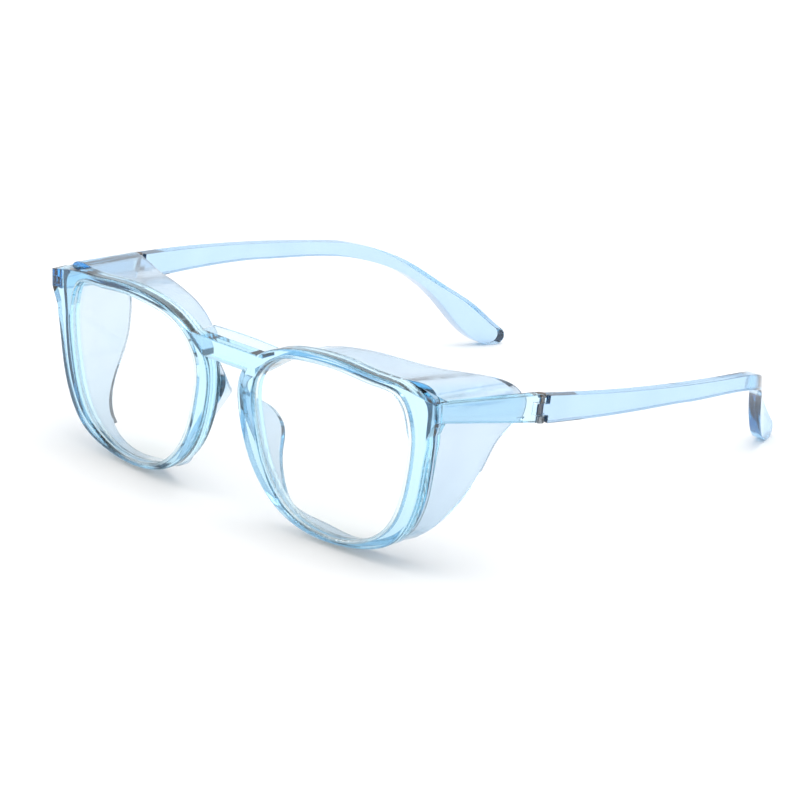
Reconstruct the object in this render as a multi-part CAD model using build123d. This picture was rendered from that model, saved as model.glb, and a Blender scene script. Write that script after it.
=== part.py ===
from build123d import *
from math import asin, cos, degrees, radians, tan
import os

# Safety glasses with a moulded guard behind each rim, lying open on a flat surface.
# +X is the wearer's left, +Y runs back along the temples and +Z is up; sizes in mm.
# The origin lies on the surface, midway between the front-most and rear-most points.

# --- lens and rim -------------------------------------------------------------
lens_width = 51.0          # clear opening in each rim
lens_height = 42.8
lens_gap = 23.2            # between the two openings, across the nose
rest_height = 2.8          # clear opening above the surface
lens_thickness = 2.0
lens_setback = 1.1         # lens face behind the front of the rim
groove_depth = 0.9         # how far the lens edge runs into the rim
groove_fit = 0.05          # air round the lens edge
face_radius = 600.0        # wrap of the front
rim_depth = lens_setback + lens_thickness + 1.1
rim_round = 0.6            # front edges of the rims
lens_top = rest_height + lens_height

# --- bridge, end pieces and side bars -------------------------------------------
bridge_top = lens_top - 2.6
bridge_height = 5.1
bridge_width = 14.0
bridge_spread = 3.5        # how far the bridge widens at its top
shelf_depth = 8.9          # thin shelf that runs back over the bridge
shelf_side_depth = 8.2
shelf_width = bridge_width + 10.6
shelf_thickness = 1.3
corner_top = lens_top - 1.1
corner_height = 4.6
bar_thickness = 3.2
bar_flare = 9.6            # degrees that each side bar spreads outward
bar_top = corner_top - 2.75
bar_height = 7.2           # at its hinge end
bar_setback = 0.3          # start of the bar behind the front surface
bar_round = 0.4            # long edges of the bar

# --- hinge ------------------------------------------------------------------------
hinge_x = lens_gap / 2 + lens_width + 10.4 + bar_thickness / 2
hinge_y = 35.3
hinge_z = bar_top - 3.8
hinge_lean = 7.9           # degrees that the hinge line leans back
knuckle_radius = bar_thickness / 2
knuckle_height = 2.8       # the temple's knuckle
knuckle_gap = 0.1          # above and below it
hinge_clear = 0.25         # between the knuckle and the end of the bar
ear_top = 3.5              # top and bottom of the ears from the hinge centre
ear_bottom = 3.4
screw_radius = 0.7
screw_fit = 0.05           # air round the screw in the ears and the knuckle
head_radius = knuckle_radius - 0.3
head_height = 0.8
head_recess = 0.6          # depth of the head's seat in the upper ear
insert_radius = knuckle_radius - 0.45
insert_height = 1.5
insert_fit = 0.02

# --- guard ----------------------------------------------------------------------
guard_wall = 1.3
guard_rear = hinge_y - 2.9   # rear of the side shield, ahead of the folded temple
guard_gap = 0.05           # bond line between the guard and the shelf over the bridge
guard_datum = 5.0          # depth at which the guard has its given outline
guard_run = 38.0           # length that the leaning tube is drawn to
wall_points = 60           # places round the outline where the wall's inner face is set
shelf_level = lens_top - 9.6   # the brow shelf is trimmed above this
lip_level = rest_height + 2.7   # and the lower lip below this

# --- temples ----------------------------------------------------------------------
temple_length = 113.0      # hinge to tip, along Y
temple_thickness = bar_thickness
temple_top = 3.6           # top and bottom edges from the hinge centre, at the hinge
temple_bottom = 3.4
tip_inward = 26.0          # how far each tip ends inside its hinge
strip_lead = 4.0           # how far ahead of the hinge the strip is drawn before it is trimmed

flare_slope = tan(radians(bar_flare))
reach = 90.0               # beyond anything that is cut
hinge_room = 11.0          # half the size of the cuts made round the hinge
overlap = 1.0              # how far shapes run into each other before they are joined or cut
hinge = Location((hinge_x, hinge_y, hinge_z), (-hinge_lean, 0, 0)) * Location((0, 0, 0), (0, 0, -bar_flare))

# Points round the wearer's left opening, anticlockwise as seen from the front. Each row holds
# the share of the opening's width and height, the way out to the edge of the rim, the way
# out to the guard, and how far the guard leans across and up for each mm that it runs back.
eye_rows = [
    ((1.000, 0.690), (6.0, 0.3), (4.1, 0.3), (0.10, -0.05)),
    ((0.985, 0.840), (6.1, 1.2), (5.4, 1.0), (0.17, -0.09)),
    ((0.940, 0.940), (4.2, 2.3), (6.4, 1.5), (0.17, -0.14)),
    ((0.790, 0.977), (0.6, 2.7), (1.0, 2.3), (0.03, -0.11)),
    ((0.575, 1.000), (0.0, 2.8), (0.0, 2.4), (0.0, -0.09)),
    ((0.345, 0.995), (-0.4, 2.7), (-0.4, 2.3), (0.0, -0.09)),
    ((0.140, 0.940), (-1.6, 2.4), (-1.2, 2.0), (0.0, -0.08)),
    ((0.000, 0.770), (-5.4, 0.6), (-3.4, 0.5), (0.05, -0.02)),
    ((0.005, 0.530), (-5.6, -0.4), (-4.0, -0.4), (0.42, -0.02)),
    ((0.077, 0.273), (-4.0, -1.6), (-2.9, -1.2), (0.42, -0.02)),
    ((0.227, 0.077), (-1.6, -1.8), (-1.3, -1.5), (0.1, -0.12)),
    ((0.445, 0.000), (-0.2, -1.5), (-0.2, -1.4), (0.0, -0.13)),
    ((0.675, 0.028), (0.6, -1.9), (0.6, -1.8), (0.0, -0.15)),
    ((0.860, 0.157), (2.6, -3.2), (2.4, -3.0), (0.03, -0.09)),
    ((0.963, 0.411), (5.0, -2.0), (4.5, -1.9), (0.0, -0.02)),
]
guard_corner = {2: (1.5, 0.7)}   # squares the guard off against the side bar

# Corners of the left end piece: across from the opening's outer side, up from the opening's top.
end_piece = [(5.4, -11.4), (1.4, -13.6), (-2.6, -3.6), (-6.6, 1.3), (0.4, 0.5)]

# Rear edge of the guard. Over the eye and under it the rows are shares of the opening's width
# and of the guard's depth; beside the nose and at the temple they are shares of the guard's
# depth and of the height from the lip to the shelf.
shelf_edge = [
    (-0.037, 0.245), (0.184, 0.360), (0.420, 0.450), (0.617, 0.580), (0.780, 0.715),
    (0.960, 0.830), (1.060, 0.880), (1.130, 0.930), (1.190, 1.000),
]
lip_edge = [
    (0.008, 0.188), (0.165, 0.191), (0.282, 0.225), (0.380, 0.265),
    (0.537, 0.275), (0.706, 0.295), (0.860, 0.385), (1.000, 0.550),
]
nose_edge = [
    (0.191, 0.000), (0.188, 0.131), (0.210, 0.269), (0.262, 0.410), (0.320, 0.534),
    (0.328, 0.625), (0.295, 0.705), (0.205, 0.785), (0.155, 0.860), (0.145, 1.000),
]
cheek_edge = [
    (0.395, 0.000), (0.440, 0.069), (0.515, 0.173), (0.635, 0.331), (0.725, 0.458),
    (0.805, 0.610), (0.885, 0.820), (0.940, 0.925), (1.000, 1.000),
]

# Temple from the hinge to the tip: share of the length, outward bow of the middle, share of
# the way down to the surface, and half the height of the blade.
temple_rows = [
    (0.110, 2.1, 0.034, 3.00),
    (0.280, 3.7, 0.092, 2.50),
    (0.430, 3.2, 0.148, 2.20),
    (0.580, 1.2, 0.209, 1.95),
    (0.698, -2.6, 0.286, 2.05),
    (0.778, -9.2, 0.404, 2.05),
    (0.845, -16.0, 0.609, 3.20),
    (0.905, -20.8, 0.808, 5.05),
    (0.943, -22.9, 0.897, 3.85),
    (0.973, -24.3, 0.934, 1.85),
]


def face_y(x):
    """Depth of the wrapped front surface of the rims at a place across."""
    return x * x / (2 * face_radius)


def outward(points, distance):
    """Moves each point of an anticlockwise outline along the normal of its neighbours' chord."""
    moved = []
    for i, (x, z) in enumerate(points):
        ax, az = points[i - 1]
        bx, bz = points[(i + 1) % len(points)]
        length = ((bx - ax) ** 2 + (bz - az) ** 2) ** 0.5
        moved.append((x + distance * (bz - az) / length, z - distance * (bx - ax) / length))
    return moved


def eye_outline(column, distance=0.0):
    """Outline round the left opening, out by one column of eye_rows or by a distance."""
    points = []
    for row in eye_rows:
        (across, up), step = row[0], row[column] if column else (0, 0)
        x = lens_gap / 2 + across * lens_width + step[0]
        points.append((x, rest_height + up * lens_height + step[1]))
    return outward(points, distance) if distance else points


def closed_face(points, y):
    """Smooth closed face through points of the front view, standing at depth y."""
    return Face(Wire([Edge.make_spline([Vector(x, y, z) for x, z in points], periodic=True)]))


def front_prism(points):
    return extrude(closed_face(points, -reach), 2 * reach, dir=(0, 1, 0))


def front_block(points):
    """Straight-sided block through the front, from its corners in the front view."""
    corners = [Vector(x, -reach, z) for x, z in points]
    return extrude(Face(Wire.make_polygon(corners)), 2 * reach, dir=(0, 1, 0))


def curved_slab(front, back):
    """All that lies between two depths behind the wrapped front surface."""
    angle = degrees(asin(2 * reach / face_radius))

    def face_arc(depth):
        plane = Plane((0, depth + face_radius, -reach), x_dir=(1, 0, 0), z_dir=(0, 0, 1))
        return Edge.make_circle(face_radius, plane, 270 - angle, 270 + angle)

    near, far = face_arc(front), face_arc(back)
    edges = [near, Edge.make_line(near @ 1, far @ 1), far, Edge.make_line(far @ 0, near @ 0)]
    return extrude(Face(Wire(edges)), 2 * reach, dir=(0, 0, 1))


def mirrored(shape):
    return shape.mirror(Plane.YZ)


def hinge_cylinder(radius, low, high):
    """Cylinder round the hinge line, between two heights from the hinge centre."""
    post = Cylinder(radius, high - low, align=(Align.CENTER, Align.CENTER, Align.MIN))
    return hinge * Pos(0, 0, low) * post


def hinge_box(x, y, z):
    """Box in the hinge's own frame, from its lowest and highest value along each axis."""
    size = [b - a for a, b in (x, y, z)]
    return hinge * Pos(x[0], y[0], z[0]) * Box(*size, align=(Align.MIN, Align.MIN, Align.MIN))


def bar_face_x(y, offset):
    """Where a face of the left side bar lies, offset outward from the bar's middle."""
    return hinge_x + offset / cos(radians(bar_flare)) - (hinge_y - y) * flare_slope


def side_bar():
    """Left bar from the front corner to the hinge, ending in two ears."""
    start = face_y(bar_face_x(0, 0)) + bar_setback
    side = [
        (start, corner_top - corner_height),
        (hinge_y, bar_top - bar_height),
        (hinge_y, bar_top),
        (start, corner_top),
    ]
    profile = Face(Wire.make_polygon([Vector(reach / 2, y, z) for y, z in side]))
    half = bar_thickness / 2
    ends = ((start, -half), (hinge_y, -half), (hinge_y, half), (start, half))
    plan = Face(Wire.make_polygon([Vector(bar_face_x(y, offset), y, 0) for y, offset in ends]))
    bar = extrude(profile, reach / 2, dir=(1, 0, 0)) & extrude(plan, reach, dir=(0, 0, 1))
    bar = fillet(bar.edges().sort_by(SortBy.LENGTH)[-4:], bar_round)
    bar += hinge_cylinder(knuckle_radius, -ear_bottom, ear_top)
    room = knuckle_height / 2 + knuckle_gap
    wide = (-hinge_room, hinge_room)
    return bar - hinge_box(wide, (-knuckle_radius - hinge_clear, hinge_room), (-room, room))


def bridge_shelf(gap):
    """Thin shelf over the bridge, or the room that it needs between the guards."""
    half, low = shelf_width / 2 + gap, bridge_top - shelf_thickness - gap
    corners = [Vector(x, y, low) for x, y in ((half, shelf_side_depth + gap), (half, 0), (-half, 0))]
    corners.append(Vector(-half, shelf_side_depth + gap, low))
    rear = Edge.make_three_point_arc(corners[0], Vector(0, shelf_depth + gap, low), corners[-1])
    face = Face(Wire([rear, *[Edge.make_line(a, b) for a, b in zip(corners, corners[1:])]]))
    return extrude(face, shelf_thickness + 2 * gap, dir=(0, 0, 1)) & curved_slab(0, reach)


def end_block():
    """Left end piece, from the top corner of the rim to the start of the side bar."""
    corner_x = bar_face_x(face_y(bar_face_x(0, 0)) + bar_setback, bar_thickness / 2)
    points = [(corner_x, corner_top), (corner_x, corner_top - corner_height)]
    points += [(lens_gap / 2 + lens_width + across, lens_top + up) for across, up in end_piece]
    return front_block(points)


def bridge():
    half, low = bridge_width / 2, bridge_top - bridge_height
    right = [(half + overlap, low), (half + bridge_spread + 2 * overlap, bridge_top - overlap)]
    right.append((half + bridge_spread, bridge_top))
    return front_block(right + [(-x, z) for x, z in reversed(right)])


def screw_hole():
    """Hole down the left hinge, with the seats for the screw's head and the insert."""
    hole = hinge_cylinder(screw_radius + screw_fit, -ear_bottom - overlap, ear_top + overlap)
    hole += hinge_cylinder(head_radius + screw_fit, ear_top - head_recess, ear_top + overlap)
    return hole + hinge_cylinder(insert_radius, -ear_bottom - overlap, insert_height - ear_bottom)


def rim(opening, slab):
    """Left rim, rounded along both of its front edges."""
    ring = (front_prism(eye_outline(1)) - opening) & slab
    around = ring.edges().sort_by(SortBy.LENGTH)[-4:]
    return fillet(around.sort_by(Axis.Y)[:2], rim_round)


def front_frame():
    """Both rims, bridge, end pieces and side bars in one moulding."""
    slab = curved_slab(0, rim_depth)
    opening = front_prism(eye_outline(0))
    left = rim(opening, slab) + ((end_block() & slab) - opening) + side_bar()
    frame = left + mirrored(left) + (bridge() & slab) + bridge_shelf(0)
    groove = front_prism(eye_outline(0, groove_depth))
    groove &= curved_slab(lens_setback, lens_setback + lens_thickness)
    cut = groove + screw_hole()
    return frame - cut - mirrored(cut)


def lens():
    """Left lens, snapped into the groove of its rim."""
    edge = front_prism(eye_outline(0, groove_depth - groove_fit))
    return edge & curved_slab(lens_setback, lens_setback + lens_thickness)


def guard_outline(y):
    """Outline of the left guard's outer face at depth y, squared off against the side bar."""
    back, points = y - guard_datum, []
    for i, ((x, z), row) in enumerate(zip(eye_outline(2), eye_rows)):
        square = guard_corner.get(i, (0, 0))
        points.append((x + square[0] + row[3][0] * back, z + square[1] + row[3][1] * back))
    return points


def guard_tube(inset):
    """Closed tube that leans as the left guard does, in from its outer face."""
    ends = []
    for y in (-guard_run, guard_run):
        face = closed_face(guard_outline(y), y)
        if inset:
            edge = face.edge()
            spots = [edge @ (i / wall_points) for i in range(wall_points)]
            face = closed_face(outward([(spot.X, spot.Z) for spot in spots], -inset), y)
        ends.append(face)
    return loft(ends, ruled=True)


def behind_edge(rows, ends):
    """Face whose outline runs smoothly through rows and then straight through ends."""
    curve = Edge.make_spline([Vector(*row) for row in rows])
    corners = [curve @ 1, *[Vector(*end) for end in ends], curve @ 0]
    return Face(Wire([curve, *[Edge.make_line(a, b) for a, b in zip(corners, corners[1:])]]))


def plan_block(edge, low, high):
    """Everything in front of a rear edge over or under the eye, between two heights."""
    rows = [(lens_gap / 2 + across * lens_width, back * guard_rear, low) for across, back in edge]
    outer = (reach, rows[-1][1], low)
    face = behind_edge(rows, [outer, (reach, -reach, low), (rows[0][0], -reach, low)])
    return extrude(face, high - low, dir=(0, 0, 1))


def side_block(edge, low, high):
    """Everything in front of a rear edge beside the eye, between two places across."""
    rise = shelf_level - lip_level
    rows = [(low, back * guard_rear, lip_level + up * rise) for back, up in edge]
    face = behind_edge(rows, [(low, -reach, shelf_level), (low, -reach, lip_level)])
    return extrude(face, high - low, dir=(1, 0, 0))


def eye_guard():
    """Left guard: brow shelf, side shield, lower lip and nose flange round one eye."""
    middle = (lens_gap + lens_width) / 2
    shelf = plan_block(shelf_edge, shelf_level, reach)
    lip = plan_block(lip_edge, -reach, lip_level)
    nose = side_block(nose_edge, -reach, middle)
    cheek = side_block(cheek_edge, middle, reach)
    tube = guard_tube(0) - guard_tube(guard_wall)
    guard = (tube & curved_slab(rim_depth, reach)) & (shelf + lip + nose + cheek)
    return guard - bridge_shelf(guard_gap)


def temple_side():
    """Side view of the left temple: top edge, rounded tip and bottom edge."""
    front = hinge_y - overlap
    top = [Vector(0, front, hinge_z + temple_top)]
    low = [Vector(0, front, hinge_z - temple_bottom)]
    for share, _, drop, half in temple_rows:
        y = hinge_y + share * temple_length
        middle = hinge_z * (1 - drop)
        top.append(Vector(0, y, middle + half))
        low.append(Vector(0, y, middle - half))
    upper = Edge.make_spline(top)
    tip = Edge.make_tangent_arc(upper @ 1, upper % 1, low[-1])
    lower = Edge.make_spline(low[::-1], tangents=[tip % 1, low[0] - low[1]])
    return Face(Wire([upper, tip, lower, Edge.make_line(low[0], top[0])]))


def temple_plan():
    """Plan view of the left temple, an even strip that bows out and then turns in."""
    middle = [(hinge_x - flare_slope * strip_lead, hinge_y - strip_lead), (hinge_x, hinge_y)]
    middle += [(hinge_x + row[1], hinge_y + row[0] * temple_length) for row in temple_rows]
    middle.append((hinge_x - tip_inward, hinge_y + temple_length + temple_thickness))
    edges = []
    for offset in (temple_thickness / 2, -temple_thickness / 2):
        shifted = []
        for i, (x, y) in enumerate(middle):
            ax, ay = middle[max(i - 1, 0)]
            bx, by = middle[min(i + 1, len(middle) - 1)]
            length = ((bx - ax) ** 2 + (by - ay) ** 2) ** 0.5
            shifted.append(Vector(x + offset * (by - ay) / length, y - offset * (bx - ax) / length, -reach))
        edges.append(Edge.make_spline(shifted))
    outer, inner = edges
    ends = [Edge.make_line(outer @ 1, inner @ 1), Edge.make_line(inner @ 0, outer @ 0)]
    return Face(Wire([outer, ends[0], inner, ends[1]]))


def temple():
    """Left temple, with its knuckle between the ears of the side bar."""
    side = extrude(temple_side(), reach, dir=(1, 0, 0))
    blade = side & extrude(temple_plan(), 2 * reach, dir=(0, 0, 1))
    face = knuckle_radius + hinge_clear
    wide = (-hinge_room, hinge_room)
    blade -= hinge_box(wide, (-hinge_room, face), wide)
    half = knuckle_height / 2
    blade += hinge_box((-knuckle_radius, knuckle_radius), (0, face + overlap), (-half, half))
    blade += hinge_cylinder(knuckle_radius, -half, half)
    return blade - hinge_cylinder(screw_radius + screw_fit, -half - overlap, half + overlap)


def hinge_screw():
    screw = hinge_cylinder(screw_radius, -ear_bottom, ear_top)
    return screw + hinge_cylinder(head_radius, ear_top - head_recess, ear_top - head_recess + head_height)


def hinge_insert():
    """Threaded insert in the lower ear, which the screw ends in."""
    shell = hinge_cylinder(insert_radius, -ear_bottom, insert_height - ear_bottom)
    return shell - hinge_cylinder(screw_radius + insert_fit, -ear_bottom - overlap, insert_height)


def main():
    pieces = {"front_frame": front_frame()}
    makers = {
        "lens": lens,
        "eye_guard": eye_guard,
        "temple": temple,
        "hinge_screw": hinge_screw,
        "hinge_insert": hinge_insert,
    }
    for name, maker in makers.items():
        pieces[name + "_left"] = maker()
        pieces[name + "_right"] = mirrored(pieces[name + "_left"])
    boxes = [piece.bounding_box() for piece in pieces.values()]
    front = min(box.min.Y for box in boxes)
    rear = max(box.max.Y for box in boxes)
    floor = min(box.min.Z for box in boxes)
    os.makedirs("parts", exist_ok=True)
    shift = Pos(0, -(front + rear) / 2, -floor)
    for name, piece in pieces.items():
        export_step(shift * piece, f"parts/{name}.step")


main()
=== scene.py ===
import math

import bpy
from mathutils import Matrix, Vector

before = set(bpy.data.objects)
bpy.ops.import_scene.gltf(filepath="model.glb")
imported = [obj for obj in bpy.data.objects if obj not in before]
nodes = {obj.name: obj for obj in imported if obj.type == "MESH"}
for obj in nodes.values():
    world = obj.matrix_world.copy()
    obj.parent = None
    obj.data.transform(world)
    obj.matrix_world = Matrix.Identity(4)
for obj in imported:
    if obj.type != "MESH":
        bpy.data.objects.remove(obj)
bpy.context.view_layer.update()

# ---------------------------------------------------------------- table, light and camera
# The glasses stand open on a plain white sweep under one wide soft ceiling light, with a
# weaker fill on the wearer's right. The camera is a long lens held well back.

FLOOR_WIDTH = 6.0
FLOOR_COLORS = (0.93, 0.93, 0.93, 1.0), (0.95, 0.95, 0.95, 1.0)
CAMERA_PLACE = (0.77784, -0.75520, 0.38230)
CAMERA_AZIMUTH = math.radians(46.322)
CAMERA_ELEVATION = math.radians(18.857)
CAMERA_ROLL = math.radians(1.149)
CAMERA_LENS = 199.92      # mm, on a 36 mm sensor
HORIZON_LIGHT = (0.86, 0.90, 0.95, 1.0)
ZENITH_LIGHT = (1.0, 1.0, 1.0, 1.0)
LIGHT_RISE = (0.02, 0.45)  # heights between which the one turns into the other
LIGHT_BOUNCES = 24         # enough for light that is caught inside the clear plastic


def new_material(name):
    """Empty node material and its Principled shader."""
    material = bpy.data.materials.new(name)
    material.use_nodes = True
    return material, material.node_tree.nodes["Principled BSDF"]


def noise(tree, scale, detail=3.0):
    """Noise on object coordinates; scale is in features per metre."""
    place = tree.nodes.new("ShaderNodeTexCoord")
    texture = tree.nodes.new("ShaderNodeTexNoise")
    texture.inputs["Scale"].default_value = scale
    texture.inputs["Detail"].default_value = detail
    tree.links.new(place.outputs["Object"], texture.inputs["Vector"])
    return texture.outputs["Fac"]


def spread(tree, value, low, high):
    """Stretches a noise value over a range."""
    node = tree.nodes.new("ShaderNodeMapRange")
    node.inputs["From Min"].default_value = 0.3
    node.inputs["From Max"].default_value = 0.7
    node.inputs["To Min"].default_value = low
    node.inputs["To Max"].default_value = high
    tree.links.new(value, node.inputs["Value"])
    return node.outputs["Result"]


def tint(tree, value, first, second):
    """Colour that drifts between two with a noise value."""
    ramp = tree.nodes.new("ShaderNodeValToRGB")
    ramp.color_ramp.elements[0].position = 0.35
    ramp.color_ramp.elements[1].position = 0.65
    ramp.color_ramp.elements[0].color = first
    ramp.color_ramp.elements[1].color = second
    tree.links.new(value, ramp.inputs["Fac"])
    return ramp.outputs["Color"]


def ripple(tree, shader, value, strength, depth, rounding):
    """Shallow unevenness of a moulded or turned surface, and softened edges; in metres."""
    bump = tree.nodes.new("ShaderNodeBump")
    bump.inputs["Strength"].default_value = strength
    bump.inputs["Distance"].default_value = depth
    softened = tree.nodes.new("ShaderNodeBevel")
    softened.samples = 4
    softened.inputs["Radius"].default_value = rounding
    tree.links.new(softened.outputs["Normal"], bump.inputs["Normal"])
    tree.links.new(value, bump.inputs["Height"])
    tree.links.new(bump.outputs["Normal"], shader.inputs["Normal"])


table_white, shader = new_material("table_white")
tree = table_white.node_tree
shader.inputs["Specular IOR Level"].default_value = 0.15
tree.links.new(tint(tree, noise(tree, 3.0), *FLOOR_COLORS), shader.inputs["Base Color"])
tree.links.new(spread(tree, noise(tree, 40.0), 0.65, 0.75), shader.inputs["Roughness"])
bpy.ops.mesh.primitive_plane_add(size=FLOOR_WIDTH)
table = bpy.context.object
table.name = "table_top"
table.data.materials.append(table_white)

world = bpy.data.worlds.new("studio")
bpy.context.scene.world = world
world.use_nodes = True
tree = world.node_tree
direction = tree.nodes.new("ShaderNodeTexCoord")
height = tree.nodes.new("ShaderNodeSeparateXYZ")
rise = tree.nodes.new("ShaderNodeValToRGB")
stops = zip(rise.color_ramp.elements, LIGHT_RISE, (HORIZON_LIGHT, ZENITH_LIGHT))
for stop, position, color in stops:
    stop.position = position
    stop.color = color
tree.links.new(direction.outputs["Generated"], height.inputs["Vector"])
tree.links.new(height.outputs["Z"], rise.inputs["Fac"])
tree.links.new(rise.outputs["Color"], tree.nodes["Background"].inputs["Color"])
tree.nodes["Background"].inputs["Strength"].default_value = 1.0


def soft_light(name, place, width, power):
    """Square soft box that faces the glasses."""
    lamp = bpy.data.lights.new(name, "AREA")
    lamp.shape = "SQUARE"
    lamp.size = width
    lamp.energy = power
    box = bpy.data.objects.new(name, lamp)
    box.location = place
    box.rotation_euler = (-Vector(place)).to_track_quat("-Z", "Y").to_euler()
    bpy.context.collection.objects.link(box)


soft_light("ceiling_box", (0.2, 0.3, 1.6), 1.2, 9.0)
soft_light("side_box", (-1.3, -0.6, 0.9), 0.7, 4.0)

camera = bpy.data.objects.new("camera", bpy.data.cameras.new("camera"))
bpy.context.collection.objects.link(camera)
azimuth = Matrix.Rotation(CAMERA_AZIMUTH, 4, "Z")
tilt = Matrix.Rotation(math.pi / 2 - CAMERA_ELEVATION, 4, "X")
roll = Matrix.Rotation(CAMERA_ROLL, 4, "Z")
camera.matrix_world = Matrix.Translation(CAMERA_PLACE) @ azimuth @ tilt @ roll
camera.data.lens = CAMERA_LENS
camera.data.sensor_width = 36.0
camera.data.clip_start = 0.05
camera.data.clip_end = 20.0
bpy.context.scene.camera = camera
bpy.context.scene.view_settings.view_transform = "Standard"
bpy.context.scene.cycles.max_bounces = LIGHT_BOUNCES
bpy.context.scene.cycles.transmission_bounces = LIGHT_BOUNCES

# ---------------------------------------------------------------- front frame
# Both rims, the bridge and the side bars, injection-moulded in one piece of clear
# polycarbonate with a light blue dye, then polished. Long ways through it look deep blue.


def clear_plastic(name, body, density, dye, haze, roughness):
    """Clear dyed plastic: faces look pale, and edges gather the colour of a long way through."""
    material, shader = new_material(name)
    tree = material.node_tree
    shader.inputs["IOR"].default_value = PLASTIC_IOR
    shader.inputs["Transmission Weight"].default_value = 1.0 - haze
    tree.links.new(tint(tree, noise(tree, 90.0), *body), shader.inputs["Base Color"])
    tree.links.new(spread(tree, noise(tree, 260.0), *roughness), shader.inputs["Roughness"])
    ripple(tree, shader, noise(tree, 220.0, 2.0), 0.10, 0.00005, MOULDED_EDGE)
    inside = tree.nodes.new("ShaderNodeVolumeAbsorption")
    inside.inputs["Color"].default_value = dye
    inside.inputs["Density"].default_value = density
    volume = tree.nodes["Material Output"].inputs["Volume"]
    tree.links.new(inside.outputs["Volume"], volume)
    return material


DYE = (0.0, 0.72, 0.99, 1.0)
PLASTIC_IOR = 1.52
MOULDED_EDGE = 0.00035
frame_plastic = clear_plastic(
    "frame_polycarbonate",
    body=((0.99, 0.99, 1.0, 1.0), (0.96, 0.98, 1.0, 1.0)),
    density=100.0,
    dye=DYE,
    haze=0.0,
    roughness=(0.0, 0.02),
)
nodes["front_frame"].material_slots[0].material = frame_plastic

# ---------------------------------------------------------------- lenses
# Two clear polycarbonate lenses with a hard coat, snapped into the grooves of the rims.
# Only their edges show a trace of yellow-green.

lens_plastic = clear_plastic(
    "lens_polycarbonate",
    body=((1.0, 1.0, 1.0, 1.0), (0.99, 1.0, 0.99, 1.0)),
    density=10.0,
    dye=(0.85, 1.0, 0.6, 1.0),
    haze=0.0,
    roughness=(0.0, 0.01),
)
for side in ("left", "right"):
    nodes["lens_" + side].material_slots[0].material = lens_plastic

# ---------------------------------------------------------------- eye guards
# A thin moulded wall behind each rim: brow shelf, side shield, lower lip and nose flange.
# The same dyed polycarbonate as the frame, a little cloudy from its textured mould.

guard_plastic = clear_plastic(
    "guard_polycarbonate",
    body=((0.70, 0.77, 0.87, 1.0), (0.74, 0.81, 0.90, 1.0)),
    density=100.0,
    dye=DYE,
    haze=0.07,
    roughness=(0.02, 0.08),
)
for side in ("left", "right"):
    nodes["eye_guard_" + side].material_slots[0].material = guard_plastic

# ---------------------------------------------------------------- temples
# Flat curved arms of the same dyed polycarbonate, moulded with the hinge knuckle and
# widening to a rounded tip behind the ear.

temple_plastic = clear_plastic(
    "temple_polycarbonate",
    body=((0.70, 0.77, 0.91, 1.0), (0.75, 0.81, 0.94, 1.0)),
    density=95.0,
    dye=DYE,
    haze=0.04,
    roughness=(0.0, 0.04),
)
for side in ("left", "right"):
    nodes["temple_" + side].material_slots[0].material = temple_plastic

# ---------------------------------------------------------------- hinge screws and inserts
# Turned steel: a bronze-brown screw from above through the knuckles, and a plain threaded
# insert that was pressed into the lower ear.


def steel(name, colors, roughness):
    """Turned steel with a fine grain."""
    material, shader = new_material(name)
    tree = material.node_tree
    shader.inputs["Metallic"].default_value = 1.0
    tree.links.new(tint(tree, noise(tree, 900.0), *colors), shader.inputs["Base Color"])
    tree.links.new(spread(tree, noise(tree, 1800.0), *roughness), shader.inputs["Roughness"])
    ripple(tree, shader, noise(tree, 5000.0, 2.0), 0.3, 0.00002, TURNED_EDGE)
    return material


TURNED_EDGE = 0.0001
BRONZED = (0.10, 0.07, 0.055, 1.0), (0.17, 0.12, 0.09, 1.0)
PLAIN = (0.45, 0.46, 0.48, 1.0), (0.6, 0.61, 0.63, 1.0)
screw_steel = steel("bronzed_steel", BRONZED, (0.3, 0.45))
insert_steel = steel("insert_steel", PLAIN, (0.25, 0.4))
for side in ("left", "right"):
    nodes["hinge_screw_" + side].material_slots[0].material = screw_steel
    nodes["hinge_insert_" + side].material_slots[0].material = insert_steel
